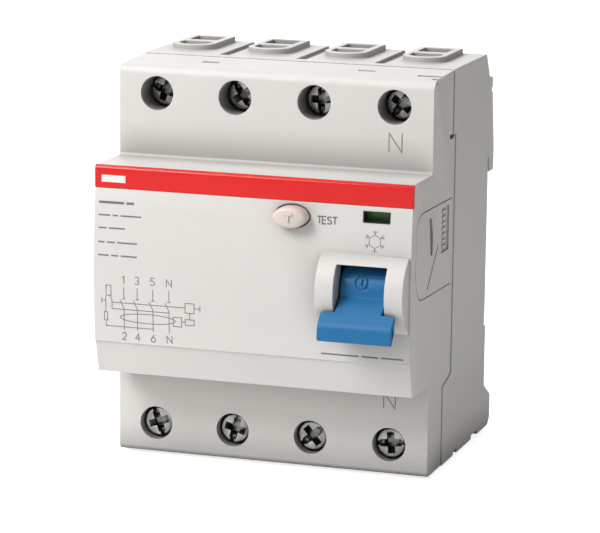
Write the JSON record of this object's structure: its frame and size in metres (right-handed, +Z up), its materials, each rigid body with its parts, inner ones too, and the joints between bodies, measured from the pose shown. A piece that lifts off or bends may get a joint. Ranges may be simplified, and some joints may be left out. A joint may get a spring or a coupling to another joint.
{
  "type": "residual current device",
  "caption": "Rail-mounted four-pole residual current device: stepped light grey case, red band, test button, indicator window, blue toggle, box-clamp terminals and spring rail clips.",
  "frame": {"origin": "centre of the flat face that lies against the mounting rail", "axes": "+X to the right seen from the front, -Y to the front, +Y towards the rail, +Z up"},
  "size_m": [0.07, 0.0729, 0.0869],
  "materials": {
    "housing": "light grey moulded thermoplastic, fine satin texture",
    "accent": "red strip, smooth satin",
    "clip": "dark grey glass-filled plastic",
    "lever": "blue moulded plastic, satin",
    "button": "pale cream moulded plastic, satin",
    "flag": "green over red indicator plate",
    "ceramic": "coated resistor body with tinned leads",
    "insulator": "black insulating moulding",
    "zinc": "zinc-plated steel",
    "steel": "bright rolled steel",
    "copper": "copper with a light tarnish"
  },
  "bodies": {
    "housing": {"front_cover": "housing", "rear_base": "housing", "accent_band": "accent", "side_plug": "housing", "fixed_contact_1": "copper", "load_conductor_1": "copper", "fixed_contact_2": "copper", "load_conductor_2": "copper", "fixed_contact_3": "copper", "load_conductor_3": "copper", "fixed_contact_4": "copper", "load_conductor_4": "copper", "summation_ring": "insulator", "sensing_winding": "copper", "toggle_pin": "steel", "mechanism_frame": "steel", "opening_spring": "steel", "trip_relay": "insulator", "test_resistor": "ceramic"},
    "toggle": {"toggle_lever": "lever"},
    "link": {"drive_link": "steel"},
    "contact_shaft": {"contact_carrier": "insulator", "moving_contact_1": "copper", "moving_contact_2": "copper", "moving_contact_3": "copper", "moving_contact_4": "copper"},
    "flag": {"status_flag": "flag"},
    "button": {"test_button": "button"},
    "blade": {"test_blade": "copper"},
    "plunger": {"relay_plunger": "steel"},
    "trip_arm": {"trip_lever": "insulator"},
    "clip_left": {"rail_clip_left": "clip"},
    "clip_right": {"rail_clip_right": "clip"},
    "screw_top_1": {"terminal_screw_top_1": "zinc"},
    "cage_top_1": {"clamp_cage_top_1": "zinc"},
    "screw_top_2": {"terminal_screw_top_2": "zinc"},
    "cage_top_2": {"clamp_cage_top_2": "zinc"},
    "screw_top_3": {"terminal_screw_top_3": "zinc"},
    "cage_top_3": {"clamp_cage_top_3": "zinc"},
    "screw_top_4": {"terminal_screw_top_4": "zinc"},
    "cage_top_4": {"clamp_cage_top_4": "zinc"},
    "screw_bottom_1": {"terminal_screw_bottom_1": "zinc"},
    "cage_bottom_1": {"clamp_cage_bottom_1": "zinc"},
    "screw_bottom_2": {"terminal_screw_bottom_2": "zinc"},
    "cage_bottom_2": {"clamp_cage_bottom_2": "zinc"},
    "screw_bottom_3": {"terminal_screw_bottom_3": "zinc"},
    "cage_bottom_3": {"clamp_cage_bottom_3": "zinc"},
    "screw_bottom_4": {"terminal_screw_bottom_4": "zinc"},
    "cage_bottom_4": {"clamp_cage_bottom_4": "zinc"}
  },
  "joints": [
    {"name": "toggle_swing", "type": "hinge", "parent": "housing", "child": "toggle", "pos_m": [0.025, -0.0547, -0.0004], "axis": [-1, 0, 0], "range_deg": [0, 60]},
    {"name": "link_swing", "type": "hinge", "parent": "toggle", "child": "link", "pos_m": [0.025, -0.04734, 0.00385], "axis": [1, 0, 0], "range_deg": [0, 70.9]},
    {"name": "contact_shaft_turn", "type": "hinge", "parent": "housing", "child": "contact_shaft", "pos_m": [0, -0.014, 0.002], "axis": [1, 0, 0], "range_deg": [0, 22.1]},
    {"name": "flag_slide", "type": "slide", "parent": "housing", "child": "flag", "axis": [0, 0, 1], "range_m": [0, 0.00292]},
    {"name": "button_press", "type": "slide", "parent": "housing", "child": "button", "axis": [0, 1, 0], "range_m": [0, 0.002], "stiffness_N_per_m": 600, "springref_m": -0.001},
    {"name": "blade_bend", "type": "hinge", "parent": "housing", "child": "blade", "pos_m": [0.009, -0.052, 0.003], "axis": [-1, 0, 0], "range_deg": [0, 9.1]},
    {"name": "relay_strike", "type": "slide", "parent": "housing", "child": "plunger", "axis": [0, 0, 1], "range_m": [0, 0.0012], "stiffness_N_per_m": 120, "springref_m": -0.001},
    {"name": "trip_arm_turn", "type": "hinge", "parent": "housing", "child": "trip_arm", "pos_m": [0.016, -0.031, -0.0036], "axis": [-1, 0, 0], "range_deg": [0, 12.1]},
    {"name": "rail_clip_left_pull", "type": "slide", "parent": "housing", "child": "clip_left", "axis": [0, 0, -1], "range_m": [0, 0.005], "stiffness_N_per_m": 400, "springref_m": -0.002},
    {"name": "rail_clip_right_pull", "type": "slide", "parent": "housing", "child": "clip_right", "axis": [0, 0, -1], "range_m": [0, 0.005], "stiffness_N_per_m": 400, "springref_m": -0.002},
    {"name": "screw_top_1_turn", "type": "hinge", "parent": "housing", "child": "screw_top_1", "pos_m": [-0.02625, -0.039, 0.036], "axis": [0, 1, 0], "range_deg": [0, 2161]},
    {"name": "cage_top_1_rise", "type": "slide", "parent": "housing", "child": "cage_top_1", "axis": [0, -1, 0], "range_m": [0, 0.0048]},
    {"name": "screw_top_2_turn", "type": "hinge", "parent": "housing", "child": "screw_top_2", "pos_m": [-0.00875, -0.039, 0.036], "axis": [0, 1, 0], "range_deg": [0, 2161]},
    {"name": "cage_top_2_rise", "type": "slide", "parent": "housing", "child": "cage_top_2", "axis": [0, -1, 0], "range_m": [0, 0.0048]},
    {"name": "screw_top_3_turn", "type": "hinge", "parent": "housing", "child": "screw_top_3", "pos_m": [0.00875, -0.039, 0.036], "axis": [0, 1, 0], "range_deg": [0, 2161]},
    {"name": "cage_top_3_rise", "type": "slide", "parent": "housing", "child": "cage_top_3", "axis": [0, -1, 0], "range_m": [0, 0.0048]},
    {"name": "screw_top_4_turn", "type": "hinge", "parent": "housing", "child": "screw_top_4", "pos_m": [0.02625, -0.039, 0.036], "axis": [0, 1, 0], "range_deg": [0, 2161]},
    {"name": "cage_top_4_rise", "type": "slide", "parent": "housing", "child": "cage_top_4", "axis": [0, -1, 0], "range_m": [0, 0.0048]},
    {"name": "screw_bottom_1_turn", "type": "hinge", "parent": "housing", "child": "screw_bottom_1", "pos_m": [-0.02625, -0.0423, -0.036], "axis": [0, 1, 0], "range_deg": [0, 2161]},
    {"name": "cage_bottom_1_rise", "type": "slide", "parent": "housing", "child": "cage_bottom_1", "axis": [0, -1, 0], "range_m": [0, 0.0048]},
    {"name": "screw_bottom_2_turn", "type": "hinge", "parent": "housing", "child": "screw_bottom_2", "pos_m": [-0.00875, -0.0423, -0.036], "axis": [0, 1, 0], "range_deg": [0, 2161]},
    {"name": "cage_bottom_2_rise", "type": "slide", "parent": "housing", "child": "cage_bottom_2", "axis": [0, -1, 0], "range_m": [0, 0.0048]},
    {"name": "screw_bottom_3_turn", "type": "hinge", "parent": "housing", "child": "screw_bottom_3", "pos_m": [0.00875, -0.0423, -0.036], "axis": [0, 1, 0], "range_deg": [0, 2161]},
    {"name": "cage_bottom_3_rise", "type": "slide", "parent": "housing", "child": "cage_bottom_3", "axis": [0, -1, 0], "range_m": [0, 0.0048]},
    {"name": "screw_bottom_4_turn", "type": "hinge", "parent": "housing", "child": "screw_bottom_4", "pos_m": [0.02625, -0.0423, -0.036], "axis": [0, 1, 0], "range_deg": [0, 2161]},
    {"name": "cage_bottom_4_rise", "type": "slide", "parent": "housing", "child": "cage_bottom_4", "axis": [0, -1, 0], "range_m": [0, 0.0048]}
  ],
  "couplings": [
    {"joint": "link_swing", "follows": "toggle_swing", "ratio": 1.18},
    {"joint": "contact_shaft_turn", "follows": "toggle_swing", "ratio": 0.36667},
    {"joint": "flag_slide", "follows": "toggle_swing", "m_per_rad": 0.002769},
    {"joint": "blade_bend", "follows": "button_press", "rad_per_m": 78.54},
    {"joint": "trip_arm_turn", "follows": "relay_strike", "rad_per_m": 174.53},
    {"joint": "screw_top_1_turn", "follows": "cage_top_1_rise", "rad_per_m": 7854},
    {"joint": "screw_top_2_turn", "follows": "cage_top_2_rise", "rad_per_m": 7854},
    {"joint": "screw_top_3_turn", "follows": "cage_top_3_rise", "rad_per_m": 7854},
    {"joint": "screw_top_4_turn", "follows": "cage_top_4_rise", "rad_per_m": 7854},
    {"joint": "screw_bottom_1_turn", "follows": "cage_bottom_1_rise", "rad_per_m": 7854},
    {"joint": "screw_bottom_2_turn", "follows": "cage_bottom_2_rise", "rad_per_m": 7854},
    {"joint": "screw_bottom_3_turn", "follows": "cage_bottom_3_rise", "rad_per_m": 7854},
    {"joint": "screw_bottom_4_turn", "follows": "cage_bottom_4_rise", "rad_per_m": 7854}
  ]
}
